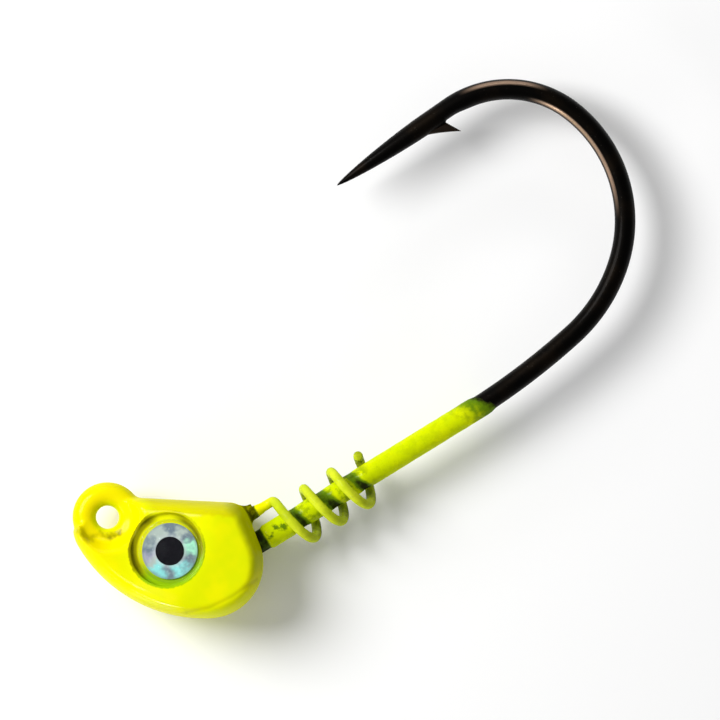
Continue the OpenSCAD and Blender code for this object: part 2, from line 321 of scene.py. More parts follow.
def head_field(x, y, z):
    """Roughly the distance in mm from the painted head's skin, negative inside."""
    inset = inset_of(x, y)
    r = np.hypot(x, y)
    half = half_thickness(x, y)
    q = np.maximum(1 - inset / EDGE_IN, 0)
    u = np.abs(z) / half
    n = EDGE_SQUARE
    m = (q ** n + u ** n) ** (1 / n) + 1e-6
    slope = np.hypot(q ** (n - 1) / EDGE_IN, u ** (n - 1) / half) / m ** (n - 1)
    body = (m - 1) / np.maximum(slope, 0.2)
    # the head ends at the ring's two shoulders
    nx, ny = SHOULDER_NORMAL
    body = smooth_max(body, nx * x + ny * y - SHOULDER_AT, SHOULDER_SOFT)
    # and opens round the ring
    opening = np.maximum(SEAT_R + SEAT_FLARE * (np.abs(z) - SEAT_Z), RING_R) - r
    body = smooth_max(body, opening / math.hypot(1, SEAT_FLARE), SEAT_SOFT)
    ring = np.hypot(r - RING_R, z) - (WIRE_R + COAT_T)
    field = smooth_min(body, ring, RING_SOFT)
    boss_r = BOSS_R - BOSS_TAPER * np.clip(x - BOSS_TAPER_FROM, 0, 1)
    boss = np.maximum(np.hypot(y - BOSS_Y, z) - boss_r, np.maximum(x - BOSS_END, BOSS_START - x))
    field = smooth_min(field, boss, BOSS_SOFT)
    eu, ev, ew = in_socket(x, y, z)
    pocket = smooth_max(np.hypot(eu, ev) - SOCKET_R, -ew, FLOOR_SOFT)
    field = smooth_max(field, -pocket, RIM_SOFT)
    # the seam's groove and the belly's faint crease
    field = field + SEAM_DEPTH * np.exp(-(near_line(x, y, SEAM) / SEAM_WIDTH) ** 2)
    field = field + CREASE_DEPTH * np.exp(-(near_line(x, y, CREASE) / CREASE_WIDTH) ** 2)
    return field + HEAD_IN


def surface_net(field, low, step):
    """Points and four-sided faces of the skin where a gridded field changes sign."""
    inside = field < 0
    nx, ny, nz = field.shape
    count = np.zeros((nx - 1, ny - 1, nz - 1), np.int8)
    for i in (0, 1):
        for j in (0, 1):
            for k in (0, 1):
                count += inside[i:nx - 1 + i, j:ny - 1 + j, k:nz - 1 + k]
    mixed = (count > 0) & (count < 8)
    number = np.full(mixed.shape, -1, np.int64)
    number[mixed] = np.arange(int(mixed.sum()))
    cells = np.argwhere(mixed)
    total, hits = np.zeros((len(cells), 3)), np.zeros(len(cells))
    for axis in range(3):
        others = [a for a in range(3) if a != axis]
        for da in (0, 1):
            for db in (0, 1):
                p = cells.copy()
                p[:, others[0]] += da
                p[:, others[1]] += db
                q = p.copy()
                q[:, axis] += 1
                f0, f1 = field[tuple(p.T)], field[tuple(q.T)]
                cross = (f0 < 0) != (f1 < 0)
                where = p[cross].astype(float)
                where[:, axis] += f0[cross] / (f0[cross] - f1[cross])
                total[cross] += where
                hits[cross] += 1
    verts = np.asarray(low) + step * total / hits[:, None]
    quads = []
    for axis in range(3):
        b, c = (axis + 1) % 3, (axis + 2) % 3
        near = np.take(inside, np.arange(inside.shape[axis] - 1), axis)
        far = np.take(inside, np.arange(1, inside.shape[axis]), axis)
        p = np.argwhere(near != far)
        out = near[tuple(p.T)]
        ids = []
        for ob, oc in ((-1, -1), (0, -1), (0, 0), (-1, 0)):
            cell = p.copy()
            cell[:, b] += ob
            cell[:, c] += oc
            ids.append(number[tuple(cell.T)])
        quad = np.stack(ids, 1)
        quad[~out] = quad[~out][:, ::-1]
        quads.append(quad)
    return verts, np.vstack(quads)


def settled(verts, function, rounds=2):
    """Moves points onto the skin of the exact field."""
    e = 0.02
    for _ in range(rounds):
        x, y, z = verts.T
        value = function(x, y, z)
        slope = np.stack([function(x + e, y, z) - function(x - e, y, z),
                          function(x, y + e, z) - function(x, y - e, z),
                          function(x, y, z + e) - function(x, y, z - e)], 1) / (2 * e)
        move = value[:, None] * slope / np.maximum((slope ** 2).sum(1), 0.2)[:, None]
        verts = verts - np.clip(move, -0.05, 0.05)
    return verts


# ---------------------------------------------------------------- materials
def srgb(r, g, b):
    """A display colour, 0 to 255, as the shader's own linear one."""
    return tuple((c / 255 / 12.92 if c <= 10 else ((c / 255 + 0.055) / 1.055) ** 2.4)
                 for c in (r, g, b)) + (1.0,)


class Shader:
    """A material under construction: its nodes and its surface shader."""

    def __init__(self, name, **settings):
        self.material = bpy.data.materials.new(name)
        self.material.use_nodes = True
        self.tree = self.material.node_tree
        self.surface = self.tree.nodes["Principled BSDF"]
        for key, value in settings.items():
            self.surface.inputs[key.replace("_", " ")].default_value = value

    def node(self, kind, inputs=None, **settings):
        """A new node of that kind, with its inputs set or linked."""
        n = self.tree.nodes.new("ShaderNode" + kind)
        for key, value in settings.items():
            setattr(n, key, value)
        for key, value in (inputs or {}).items():
            self.put(n.inputs[key], value)
        return n

    def put(self, socket, value):
        """Links a socket to another node's output, or sets its plain value."""
        if isinstance(value, bpy.types.NodeSocket):
            self.tree.links.new(value, socket)
        else:
            socket.default_value = value

    def place(self):
        """The point on the object, in metres."""
        return self.node("TexCoord").outputs["Object"]

    def value_of(self, attribute):
        """A mesh attribute that says how far each point takes some tint."""
        return self.node("Attribute", attribute_name=attribute).outputs["Fac"]

    def math(self, operation, a, b=0.0):
        """Arithmetic on two values."""
        return self.node("Math", {0: a, 1: b}, operation=operation).outputs[0]

    def noise(self, size_mm, detail=3.0, roughness=0.55):
        """Noise whose lumps are about that size."""
        return self.node("TexNoise", {"Vector": self.place(), "Scale": 1 / (size_mm * MM),
                                      "Detail": detail, "Roughness": roughness}).outputs["Fac"]

    def span(self, value, low, high, to_low=0.0, to_high=1.0):
        """A value's softened place between low and high."""
        return self.node("MapRange", {"Value": value, "From Min": low, "From Max": high,
                                      "To Min": to_low, "To Max": to_high},
                         interpolation_type="SMOOTHSTEP").outputs[0]

    def mix(self, share, a, b):
        """Colour a with that share of colour b over it."""
        n = self.node("Mix", data_type="RGBA", clamp_factor=True)
        self.put(n.inputs[0], share)
        self.put(n.inputs[6], a)
        self.put(n.inputs[7], b)
        return n.outputs[2]

    def bump(self, height, depth_mm, strength=1.0, normal=None):
        """Relief of that depth, over an earlier one if there is one."""
        n = self.node("Bump", {"Height": height, "Distance": depth_mm * MM, "Strength": strength})
        if normal is not None:
            self.put(n.inputs["Normal"], normal)
        return n.outputs["Normal"]

    def finish(self, **sockets):
        """Links the surface's own inputs and gives the material."""
        for key, value in sockets.items():
            self.put(self.surface.inputs[key.replace("_", " ")], value)
        return self.material


def head_material():
    """Opaque chartreuse enamel: greener, duller and darker where the mesh says so, mostly as
    painted shade.
    """
    s = Shader("head_enamel", IOR=1.4, Coat_Roughness=0.12,
               Coat_IOR=1.4, Specular_IOR_Level=0.0)
    broad = s.noise(2.6, 2.0)
    fine = s.noise(0.35, 4.0)
    colour = s.mix(s.span(broad, 0.35, 0.7), srgb(220, 229, 0), srgb(234, 233, 0))
    colour = s.mix(s.value_of("warm"), colour, srgb(244, 229, 0))
    # the next five tints are painted shade and shadow, except the seam's dark marks, which are the
    # paint's own
    colour = s.mix(s.value_of("edge"), colour, srgb(208, 202, 0))
    colour = s.mix(s.value_of("rear_shade"), colour, srgb(158, 164, 0))
    colour = s.mix(s.value_of("dome_rim_shade"), colour, srgb(150, 192, 4))
    colour = s.mix(s.value_of("soft"), colour, srgb(152, 148, 0))
    dark = s.math("MULTIPLY", s.value_of("dark"), s.span(fine, 0.25, 0.6, 0.7, 1.0))
    colour = s.mix(dark, colour, srgb(58, 60, 0))
    speckle = s.span(s.noise(0.16, 2.0), 0.62, 0.78)
    colour = s.mix(s.math("MULTIPLY", speckle, 0.10), colour, srgb(190, 200, 0))
    rough = s.span(s.noise(0.9, 3.0), 0.3, 0.75, 0.26, 0.40)
    skin = s.bump(s.noise(1.1, 2.0), 0.020, 0.9)
    skin = s.bump(s.noise(0.22, 3.0), 0.006, 0.6, skin)
    coat = s.bump(s.noise(1.5, 1.0), 0.014, 0.8)
    return s.finish(Base_Color=colour, Roughness=rough, Normal=skin, Coat_Normal=coat,
                    Coat_Weight=s.value_of("gloss"))


def wire_paint(name, light, deep, worn_and_shade_colour, bare_and_shade_colour):
    """Paint on the shank and the keeper: greener and thinner than on the head."""
    s = Shader(name, IOR=1.4, Coat_Weight=0.18, Coat_Roughness=0.14, Coat_IOR=1.4,
               Specular_IOR_Level=0.0)
    mottle = s.noise(0.8, 4.0, 0.6)
    fine = s.noise(0.13, 3.0)
    colour = s.mix(s.span(s.noise(1.7, 2.0), 0.35, 0.7), deep, light)
    colour = s.mix(s.value_of("warm"), colour, srgb(244, 240, 0))
    blotch = s.math("MULTIPLY", s.span(mottle, 0.47, 0.6), s.value_of("mottle"))
    colour = s.mix(blotch, colour, worn_and_shade_colour)
    colour = s.mix(s.math("MULTIPLY", s.span(fine, 0.5, 0.75), 0.18), colour, srgb(150, 176, 0))
    # where the paint fails, it goes through green to the bare black wire; on the keeper these
    # colours are painted shade
    worn_and_shade = s.math("ADD", s.value_of("bare_and_shade"), s.span(mottle, 0.25, 0.75, -0.12, 0.12))
    colour = s.mix(s.span(worn_and_shade, 0.08, 0.6), colour, worn_and_shade_colour)
    colour = s.mix(s.span(worn_and_shade, 0.6, 0.92), colour, bare_and_shade_colour)
    rough = s.span(s.noise(0.6, 3.0), 0.3, 0.75, 0.30, 0.46)
    skin = s.bump(s.noise(0.55, 3.0), 0.022, 0.9)
    skin = s.bump(fine, 0.008, 0.7, skin)
    return s.finish(Base_Color=colour, Roughness=rough, Normal=skin)


def hook_material():
    """Black nickel with fine grain, painted glints, and a bronze cast where the mesh says so, drawn
    brighter there as a painted highlight.
    """
    s = Shader("black_nickel", Metallic=1.0, Coat_Weight=0.03, Coat_Roughness=0.12)
    tint = s.noise(3.4, 3.0)
    fine = s.noise(0.16, 4.0, 0.7)
    colour = s.mix(s.span(tint, 0.42, 0.68), srgb(10, 9, 8), srgb(22, 17, 12))
    colour = s.mix(s.value_of("bronze"), colour, srgb(176, 148, 126))
    # painted glints: small lighter specks at random on the plating
    glint = s.span(s.noise(0.11, 2.0), 0.70, 0.80)
    colour = s.mix(s.math("MULTIPLY", glint, 0.55), colour, srgb(96, 92, 84))
    rough = s.span(fine, 0.3, 0.75, 0.46, 0.60)
    rough = s.math("SUBTRACT", rough, s.math("MULTIPLY", s.value_of("bronze"), 0.2))
    skin = s.bump(fine, 0.004, 0.7)
    skin = s.bump(s.noise(1.2, 2.0), 0.012, 0.6, skin)
    return s.finish(Base_Color=colour, Roughness=rough, Normal=skin)


def eye_frame(s):
    """Distance from the eye's middle in mm, and the direction round it in turns."""
    centre = eye_point(0, 0, EYE_LAYERS)
    spot = s.node("VectorMath", {0: s.place(), 1: (centre[0] * MM, centre[1] * MM, 0)},
                  operation="SUBTRACT").outputs[0]
    parts = s.node("SeparateXYZ", {0: spot})
    x, y = parts.outputs[0], parts.outputs[1]
    far = s.math("SQRT", s.math("ADD", s.math("MULTIPLY", x, x), s.math("MULTIPLY", y, y)))
    turn = s.math("DIVIDE", s.math("ARCTAN2", y, x), 2 * math.pi)
    return s.math("DIVIDE", far, MM), turn


def eye_point(u, v, w):
    """A point of the left eye, given in the eye's own directions."""
    return (np.array([SOCKET_C[0], SOCKET_C[1], SOCKET_Z])
            + (EYE_OFFSET[0] + u) * EYE_U + (EYE_OFFSET[1] + v) * EYE_V + w * EYE_W)


def foil_material():
    """Pressed holographic foil: wedges of grey, cyan and mint round the pupil."""
    s = Shader("eye_hologram", Metallic=0.1, Roughness=0.45, Specular_IOR_Level=0.1)
    far, turn = eye_frame(s)
    grey, cyan, mint = srgb(104, 120, 132), srgb(134, 214, 212), srgb(156, 222, 190)
    light, lilac = srgb(164, 178, 171), srgb(152, 154, 172)
    wedges = [(-180, light), (-160, cyan), (-128, grey), (-92, cyan), (-55, grey), (-22, mint),
              (2, grey), (26, light), (50, grey), (78, light), (106, light), (135, grey),
              (160, lilac)]
    ramp = s.node("ValToRGB")
    ramp.color_ramp.interpolation = "EASE"
    stops = ramp.color_ramp.elements
    for place, (degrees, colour) in enumerate(wedges):
        at = degrees / 360 + 0.5
        stop = stops[0] if place == 0 else stops.new(at)
        stop.position, stop.color = at, colour
    stops[-1].position, stops[-1].color = 1.0, light
    wander = s.span(s.noise(0.9, 2.0), 0.2, 0.8, -0.05, 0.05)
    s.put(ramp.inputs["Fac"], s.math("ADD", s.math("ADD", turn, 0.5), wander))
    colour = ramp.outputs["Color"]
    # a pale, smooth ring next to the pupil and a few specks of the grating
    pale = s.span(far, PUPIL_R + 0.05, PUPIL_R + 0.35, 0.45, 0.0)
    colour = s.mix(pale, colour, srgb(186, 196, 196))
    speck = s.span(s.noise(0.3, 3.0), 0.5, 0.78, 0.0, 0.28)
    colour = s.mix(speck, colour, srgb(206, 226, 220))
    # and a darker rim
    rim = s.span(far, FOIL_R - 0.28, FOIL_R - 0.02, 0.0, 0.45)
    colour = s.mix(rim, colour, srgb(110, 128, 120))
    return s.finish(Base_Color=colour, Normal=s.bump(s.noise(0.25, 2.0), 0.01, 0.4))


def pupil_material():
    """Matt black print."""
    s = Shader("eye_pupil_print", Roughness=0.5, Specular_IOR_Level=0.0)
    colour = s.mix(s.span(s.noise(0.3, 3.0), 0.35, 0.7), srgb(20, 19, 24), srgb(28, 27, 32))
    return s.finish(Base_Color=colour, Normal=s.bump(s.noise(0.2, 2.0), 0.004, 0.5))


def adhesive_material():
    """Off-white foam tape."""
    s = Shader("eye_adhesive_foam", Roughness=0.7)
    colour = s.mix(s.noise(0.2, 3.0), srgb(214, 214, 206), srgb(238, 238, 232))
    return s.finish(Base_Color=colour, Normal=s.bump(s.noise(0.12, 3.0), 0.01, 0.8))


def lens_material():
    """Clear epoxy: seen straight through, with a gloss that grows towards its rim."""
    s = Shader("eye_clear_dome", Roughness=0.04, IOR=1.5, Specular_IOR_Level=0.5)
    rim = s.value_of("rim")
    colour = s.mix(rim, srgb(70, 82, 78), srgb(150, 176, 60))
    alpha = s.math("ADD", s.math("MULTIPLY", rim, 0.12), 0.012)
    skin = s.bump(s.noise(1.3, 1.0), 0.01, 0.5)
    return s.finish(Base_Color=colour, Alpha=alpha, Normal=skin)


def floor_material():
    """Matt white paper."""
    s = Shader("studio_floor", Roughness=0.85)
    s.surface.inputs["Specular IOR Level"].default_value = 0.1
    colour = s.mix(s.noise(40.0, 2.0), (0.96, 0.96, 0.96, 1), (0.98, 0.98, 0.98, 1))
    return s.finish(Base_Color=colour)


# ---------------------------------------------------------------- painted head
GRID = 0.086  # spacing of the points where the field is read
GRID_LOW = np.array([-3.75, -12.8, -4.4])  # clear of the head on every side
GRID_HIGH = np.array([11.3, 3.3, 4.4])
axes = [np.arange(a, b, GRID) for a, b in zip(GRID_LOW, GRID_HIGH)]
gx, gy, gz = axes[0][:, None, None], axes[1][None, :, None], axes[2][None, None, :]
skin_field = head_field(gx, gy, gz).astype(np.float32)
head_verts, head_faces = surface_net(skin_field, GRID_LOW, GRID)
head_verts = settled(head_verts, head_field)

# For each point: how far it lies in from the outline and from the line tie, and
# its place in the socket. The tints below are shares from 0 to 1, and their
# limits are distances in mm or directions round the eye in degrees.
hx, hy, hz = head_verts.T
h_inset = inset_of(hx, hy)
h_ring = np.hypot(hx, hy)
h_lumps = lumps(head_verts, 0.5, 3.0)
eu, ev, ew = in_socket(hx, hy, hz)
e_far = np.hypot(eu, ev)
e_turn = np.degrees(np.arctan2(ev, eu)) % 360
in_pocket = (e_far < SOCKET_R + 0.25) & (ew < 1.6) & (ew > -0.2)

# more orange round the line tie and down the nose, but not in the hole
warm = smooth_step(3.6, 2.2, h_ring) * 0.9 + 0.35 * smooth_step(2.5, -3.0, hx)
warm = warm * smooth_step(1.0, 1.7, h_ring)
# painted shade: darker bands along the top edge and the back, and a thin one by the outline
top_line = [OUTLINE[0], OUTLINE[-1]]
back_line = OUTLINE[REAR_FIRST:REAR_LAST:2]
band = smooth_step(1.35, 1.0, near_line(hx, hy, top_line) + 0.15 * h_lumps)
band = band * smooth_step(3.0, 4.2, h_ring) * smooth_step(0.4, 1.6, np.abs(hz))
outline_shade = smooth_step(0.55, 0.1, h_inset) * smooth_step(2.9, 3.6, h_ring)
ring_side = smooth_step(2.35, 2.8, h_ring) * smooth_step(-1.0, 0.6, hy)
edge = np.clip(0.85 * band + 0.25 * outline_shade + 0.45 * ring_side, 0, 1)
rear_shade = smooth_step(1.35, 0.55, near_line(hx, hy, back_line) + 0.12 * h_lumps)
rear_shade = 0.6 * rear_shade * smooth_step(-11.9, -9.0, hy) * smooth_step(0.4, 2.0, np.abs(hz))
# painted shade: the paint under the clear dome's rim is drawn greener at the low side of the socket
low_side = smooth_step(165, 205, e_turn) * smooth_step(356, 330, e_turn)
dome_rim_shade = np.where(in_pocket, smooth_step(FOIL_R - 0.3, FOIL_R + 0.15, e_far) * low_side, 0.0)
# painted shade on the socket's shaded side, towards the nose and the top, and less of it on its far
# side
crescent = smooth_step(72, 96, e_turn) * smooth_step(206, 176, e_turn)
gutter = in_pocket * smooth_step(FOIL_R + 0.12, FOIL_R + 0.4, e_far) * smooth_step(1.3, 0.4, ew)
soft = gutter * crescent
far_side = smooth_step(300, 330, e_turn) + smooth_step(60, 30, e_turn)
soft = np.maximum(soft, 0.85 * gutter * np.clip(far_side, 0, 1))
# the seam by the line tie is blotchy
seam_d = near_line(hx, hy, SEAM)
seam_noise = lumps(head_verts, 0.9, 21.0)
seam = smooth_step(0.55, 0.0, seam_d + 0.55 * seam_noise + 0.1)
near_hole = smooth_step(-1.9, -0.7, hx)  # and is darkest there
soft = np.maximum(soft, (0.45 + 0.35 * near_hole) * seam)
dark = (0.08 + 0.34 * near_hole) * smooth_step(0.22, -0.1, seam_d + 0.7 * seam_noise + 0.05)
# painted shade: the socket's shaded side is drawn darker still
dark = np.maximum(dark, 0.2 * gutter * crescent)
# painted shadow: a thin dark line between the foil and the socket's far wall
shade = smooth_step(0.22, 0.08, np.abs(e_far - FOIL_R - 0.33)) * in_pocket
shade = shade * np.clip(smooth_step(335, 352, e_turn) + smooth_step(45, 25, e_turn), 0, 1)
dark = np.maximum(dark, 0.5 * shade)
# painted shade in the belly's crease
soft = np.maximum(soft, 0.3 * smooth_step(0.25, 0.0, near_line(hx, hy, CREASE)))
# the enamel is thick and glossiest along the lower front edge
from_front = np.column_stack([hx, hy]) - FRONT_C
around = np.degrees(np.arctan2(from_front[:, 1], from_front[:, 0])) % 360
gloss = smooth_step(0.9, 0.5, np.abs(FRONT_R - 1.15 - np.hypot(*from_front.T)))
gloss = gloss * smooth_step(203, 210, around) * smooth_step(230, 223, around)
gloss = np.maximum(gloss, 0.25 * smooth_step(9.9, 9.0, hx))
# painted shadow: dark on the boss, which lies in the head's shadow, and round where the shank
# leaves the head
boss_d = np.hypot(hy - BOSS_Y, hz)
dark = np.maximum(dark, smooth_step(9.5, 10.2, hx) * smooth_step(1.4, 0.8, boss_d) * 0.95)
shank_gap = np.hypot(hy - SHANK_Y, hz)
dark = np.maximum(dark, smooth_step(9.0, 9.4, hx) * smooth_step(1.5, 0.9, shank_gap))

head = piece("painted_head", head_verts, head_faces, head_material(),
             {"warm": np.clip(warm, 0, 1), "edge": edge, "rear_shade": rear_shade, "dome_rim_shade": dome_rim_shade,
              "gloss": gloss, "soft": np.clip(soft, 0, 1), "dark": np.clip(dark, 0, 1)})
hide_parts("head_casting", "line_tie_coat")


# ---------------------------------------------------------------- hook
WIRE_STEP = 0.12  # from each ring of the swept wire to the next
WIRE_SIDES = 48
SOFTEN = 7  # rings on either side that share each ring's radius
TIP_R = 0.012  # of the needle's point


def hook_wire():
    """The wire from the line tie's ring to the needle point."""
    lean_cos, lean_sin = math.cos(math.radians(LEG_LEAN)), math.sin(math.radians(LEG_LEAN))
    leg_l = (-SHANK_Y - LEG_BEND_R * (1 - lean_cos)) / lean_sin
    bend_end = leg_l * lean_cos + LEG_BEND_R * lean_sin
    runs = ([(0, leg_l - RING_R), (LEG_BEND_R, LEG_LEAN), (0, SHANK_END - bend_end)]
            + BEND + [(0, SPEAR_L)])
    points, headings, number = follow(polar(RING_R, -LEG_LEAN), -LEG_LEAN, runs, WIRE_STEP)
    radius = WIRE_R - THINNER * (number + 1) - SKIN_IN
    # soften the steps between the runs
    kernel = np.ones(2 * SOFTEN + 1) / (2 * SOFTEN + 1)
    radius = np.convolve(np.pad(radius, SOFTEN, mode="edge"), kernel, "valid")
    spear = number == len(runs) - 1
    along = np.linalg.norm(np.diff(points, axis=0, prepend=points[:1]), axis=1).cumsum()
    to_tip = along[-1] - along
    # the needle point narrows along the last stretch of the spear
    t = np.clip(1 - to_tip / NEEDLE_L, 0, 1)
    needle = radius * (1 - t ** 1.5) ** 0.7 + TIP_R * t
    radius = np.where(spear, needle, radius)
    return points, headings, radius, along


w_points, w_headings, w_radius, w_along = hook_wire()
side = np.stack([-np.sin(w_headings), np.cos(w_headings), 0 * w_headings], 1)
angle = 2 * math.pi * np.arange(WIRE_SIDES) / WIRE_SIDES
w_radii = np.repeat(w_radius[:, None], WIRE_SIDES, 1)
# the cut behind the barb leaves a shallow flat on the side that faces the shank
CUT_DEPTH = 0.13
behind = w_along - (w_along[-1] - SPEAR_L)  # distance along the spear
cut = smooth_step(-1.6, 0.2, behind) * smooth_step(1.0, 0.8, behind)
w_radii -= CUT_DEPTH * cut[:, None] * np.clip(np.cos(angle), 0, 1)[None, :] ** 2
centres = np.column_stack([w_points, np.zeros(len(w_points))])
hook_verts, hook_faces = tube(centres, side, w_radii, WIRE_SIDES)


def join(parts):
    """One mesh from several lists of points and faces."""
    verts, faces, base = [], [], 0
    for v, f in parts:
        verts.append(v)
        faces += [tuple(int(i) + base for i in face) for face in f]
        base += len(v)
    return np.vstack(verts), faces


def torus(major, minor, around, across):
    """A ring in the hook's plane, round the line-tie hole."""
    a = 2 * math.pi * np.arange(around) / around
    b = 2 * math.pi * np.arange(across) / across
    r = major + minor * np.cos(b)[None, :]
    verts = np.stack([r * np.cos(a)[:, None], r * np.sin(a)[:, None],
                      np.repeat((minor * np.sin(b))[None, :], around, 0)], -1).reshape(-1, 3)
    faces = [(i * across + j, (i + 1) % around * across + j,
              (i + 1) % around * across + (j + 1) % across, i * across + (j + 1) % across)
             for i in range(around) for j in range(across)]
    return verts, faces


def barb():
    """A sliver raised from the spear. In the spear's frame, x runs to the needle's
    point and y towards the shank."""
    root, tip, notch = SPEAR_L - BARB_ROOT, SPEAR_L - BARB_TIP, SPEAR_L - BARB_NOTCH
    # heights of its two edges above the spear's centreline, and half its width
    outer_root, inner_root, inner_notch, tip_h = 0.79, 0.25, 0.75, BARB_H - 0.02
    half_root = 0.40
    rings, n = 26, 16
    verts = []
    for i in range(rings + 1):
        t = i / rings
        to_notch = min(1.0, t / 0.8)
        beyond = max(0.0, (t - 0.8) / 0.2)
        x_out = root + (tip - root) * t
        outer = outer_root + (tip_h - outer_root) * (0.8 * t + 0.2 * t * t)
        x_in = root + (notch - root) * to_notch + (tip - notch) * beyond
        inner = inner_root + (inner_notch - inner_root) * to_notch + (tip_h - inner_notch) * beyond
        half = half_root * (1 - t) ** 0.7 + TIP_R
        mid = np.array([(x_out + x_in) / 2, (outer + inner) / 2])
        arm = np.array([x_out, outer]) - mid
        for k in range(n):
            a = 2 * math.pi * k / n
            p = mid + arm * math.cos(a)
            verts.append((p[0], p[1], half * math.sin(a)))
    faces = [(i * n + k, i * n + (k + 1) % n, (i + 1) * n + (k + 1) % n, (i + 1) * n + k)
             for i in range(rings) for k in range(n)]
    faces += [tuple(range(n - 1, -1, -1)), tuple(range(rings * n, rings * n + n))]
    local = np.array(verts)
    heading = w_headings[-1]
    base = w_points[-1] - SPEAR_L * np.array([math.cos(heading), math.sin(heading)])
    ax = np.array([math.cos(heading), math.sin(heading), 0])
    ay = np.array([-math.sin(heading), math.cos(heading), 0])
    az = np.array([0, 0, 1.0])
    verts = (np.array([base[0], base[1], 0]) + local[:, :1] * ax + local[:, 1:2] * ay
             + local[:, 2:] * az)
    return verts, faces


BARB_BRONZE = 0.05
barb_v, barb_f = barb()
hook_v, hook_f = join([(hook_verts, hook_faces), torus(RING_R, WIRE_R, around=96, across=24),
                       (barb_v, barb_f)])

# the plating has a bronze cast, drawn bright as a painted highlight where the lamps reflect: on the
# inside of the bend's back and over its top; and a trace of the cast on the barb
heading_deg = np.degrees(w_headings)[:, None]
angle_deg = np.degrees(angle)[None, :]
fold = np.minimum(angle_deg, 360 - angle_deg)  # how far round the wire, from its inside


def cast(first, last, at):
    """A strip of the wire between two headings, so many degrees round from its
    inside; it fades in and out over the two spans."""
    return (smooth_step(*first, heading_deg) * smooth_step(*last, heading_deg)
            * smooth_step(18, 4, np.abs(fold - at)))


back_cast = cast((58, 80), (138, 116), 42)
top_cast = cast((126, 142), (176, 160), 132)
bronze = np.zeros(len(hook_v))
bronze[:len(w_points) * WIRE_SIDES] = np.maximum(back_cast, top_cast).reshape(-1)
bronze[-len(barb_v):] = BARB_BRONZE
hook = piece("hook_wire", hook_v, hook_f, hook_material(), {"bronze": bronze})
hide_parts("hook")


# ---------------------------------------------------------------- keeper spring
TURN_L = math.hypot(2 * math.pi * COIL_R, COIL_PITCH)
ADVANCE = COIL_PITCH / TURN_L
KEEPER_L = COIL_TURNS * TURN_L
KEEPER_STEP = 0.07  # from each ring of the swept wire to the next
KEEPER_IN = 0.02  # the shown wire is thinner by this, to leave room for its lumps
KEEPER_LUMPS = 0.05  # as a share of its radius
LEAD_FILLET = 0.12  # paint that thickens the wire near the head
END_ROUND = 0.1  # length of the rounding of its free end
COIL_REACH = 2.4  # of the coil to either side of its axis


def keeper_path():
    """Length along the wire from where the coil starts, its points, and the
    direction from the coil's axis at each."""
    s = np.arange(-LEAD_IN, KEEPER_L, KEEPER_STEP)
    s = np.append(s, KEEPER_L)
    # the turning sets in gradually over the corner from the lead into the coil
    wound = np.where(s <= -CORNER_L, 0,
                     np.where(s >= CORNER_L, s, (s + CORNER_L) ** 2 / (4 * CORNER_L)))
    turn = 2 * math.pi * wound / TURN_L
    rise = LEAD_RISE * smooth_step(RISE_END, RISE_END - RISE_L, s)
    points = np.stack([COIL_START + s - (1 - ADVANCE) * wound - COIL_LEAN * np.sin(turn),
                       COIL_Y + COIL_R * np.cos(turn) + rise,
                       COIL_R * np.sin(turn)], 1)
    out = np.stack([0 * s, np.cos(turn), np.sin(turn)], 1)
    return s, points, out


k_s, k_points, k_out = keeper_path()
k_sides = 24
end = np.clip((KEEPER_L - k_s) / END_ROUND, 0, 1)
k_radius = (KEEPER_R - KEEPER_IN) * np.sqrt(1 - (1 - end) ** 2 * 0.5)
k_radius = k_radius + LEAD_FILLET * smooth_step(-0.9, -1.8, k_s)
k_verts, k_faces = tube(k_points, k_out, k_radius, k_sides)
k_axis = np.vstack([np.repeat(k_points, k_sides, 0), k_points[:1], k_points[-1:]])
k_normal = k_verts - k_axis
k_verts = k_verts + k_normal * (KEEPER_LUMPS * lumps(k_verts, 0.7, 11.0))[:, None]
k_along = np.concatenate([np.repeat(k_s, k_sides), k_s[:1], k_s[-1:]])
# painted shade: darker and blotchier on the coil's far side and under it, and the head's painted
# shadow where it leaves the head
facing = np.clip(k_verts[:, 2] / COIL_REACH, -1, 1)
keeper = piece("keeper_wire", k_verts, k_faces,
               wire_paint("keeper_enamel", srgb(208, 220, 40), srgb(192, 208, 30),
                          srgb(112, 126, 14), srgb(60, 66, 6)),
               {"warm": smooth_step(0.9, -0.9, k_along) * 0.95,
                "mottle": 0.12 + 0.5 * smooth_step(0.2, -0.5, facing),
                "bare_and_shade": 0.42 * smooth_step(0.25, -0.5, facing)
                + 0.12 * smooth_step(-9.6, -10.6, k_verts[:, 1])
                + 0.75 * smooth_step(11.0, 10.7, k_verts[:, 0])})
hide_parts("keeper_spring")


# ---------------------------------------------------------------- paint on the shank
PAINT_STEP = 0.06  # from each ring of the swept paint to the next
PAINT_PAST = 1.3  # beyond its end the paint's skin runs on under the wire's own
PAINT_SUNK = 0.012  # and lies this deep there
PAINT_IN = 0.003  # keeps it just inside the CAD's coat
c_runs = [(0, SHANK_END - COAT_START), BEND[0]]
c_points, c_headings, _ = follow((COAT_START, SHANK_Y), 0, c_runs, PAINT_STEP)
keep = c_points[:, 0] < COAT_END + PAINT_PAST
c_points, c_headings = c_points[keep], c_headings[keep]
c_side = np.stack([-np.sin(c_headings), np.cos(c_headings), 0 * c_headings], 1)
c_sides = 72
c_angle = 2 * math.pi * np.arange(c_sides) / c_sides
# each point's place along the wire, across it and towards the left cheek
cx = np.repeat(c_points[:, 0][:, None], c_sides, 1)
across = np.repeat(np.cos(c_angle)[None, :], len(c_points), 0)
over = np.repeat(np.sin(c_angle)[None, :], len(c_points), 0)
wire_here = WIRE_R - 3 * THINNER  # the shank is the wire's third run
spot = np.stack([cx, across, over], -1).reshape(-1, 3)
c_lumps = lumps(spot, 0.6, 5.0).reshape(cx.shape)

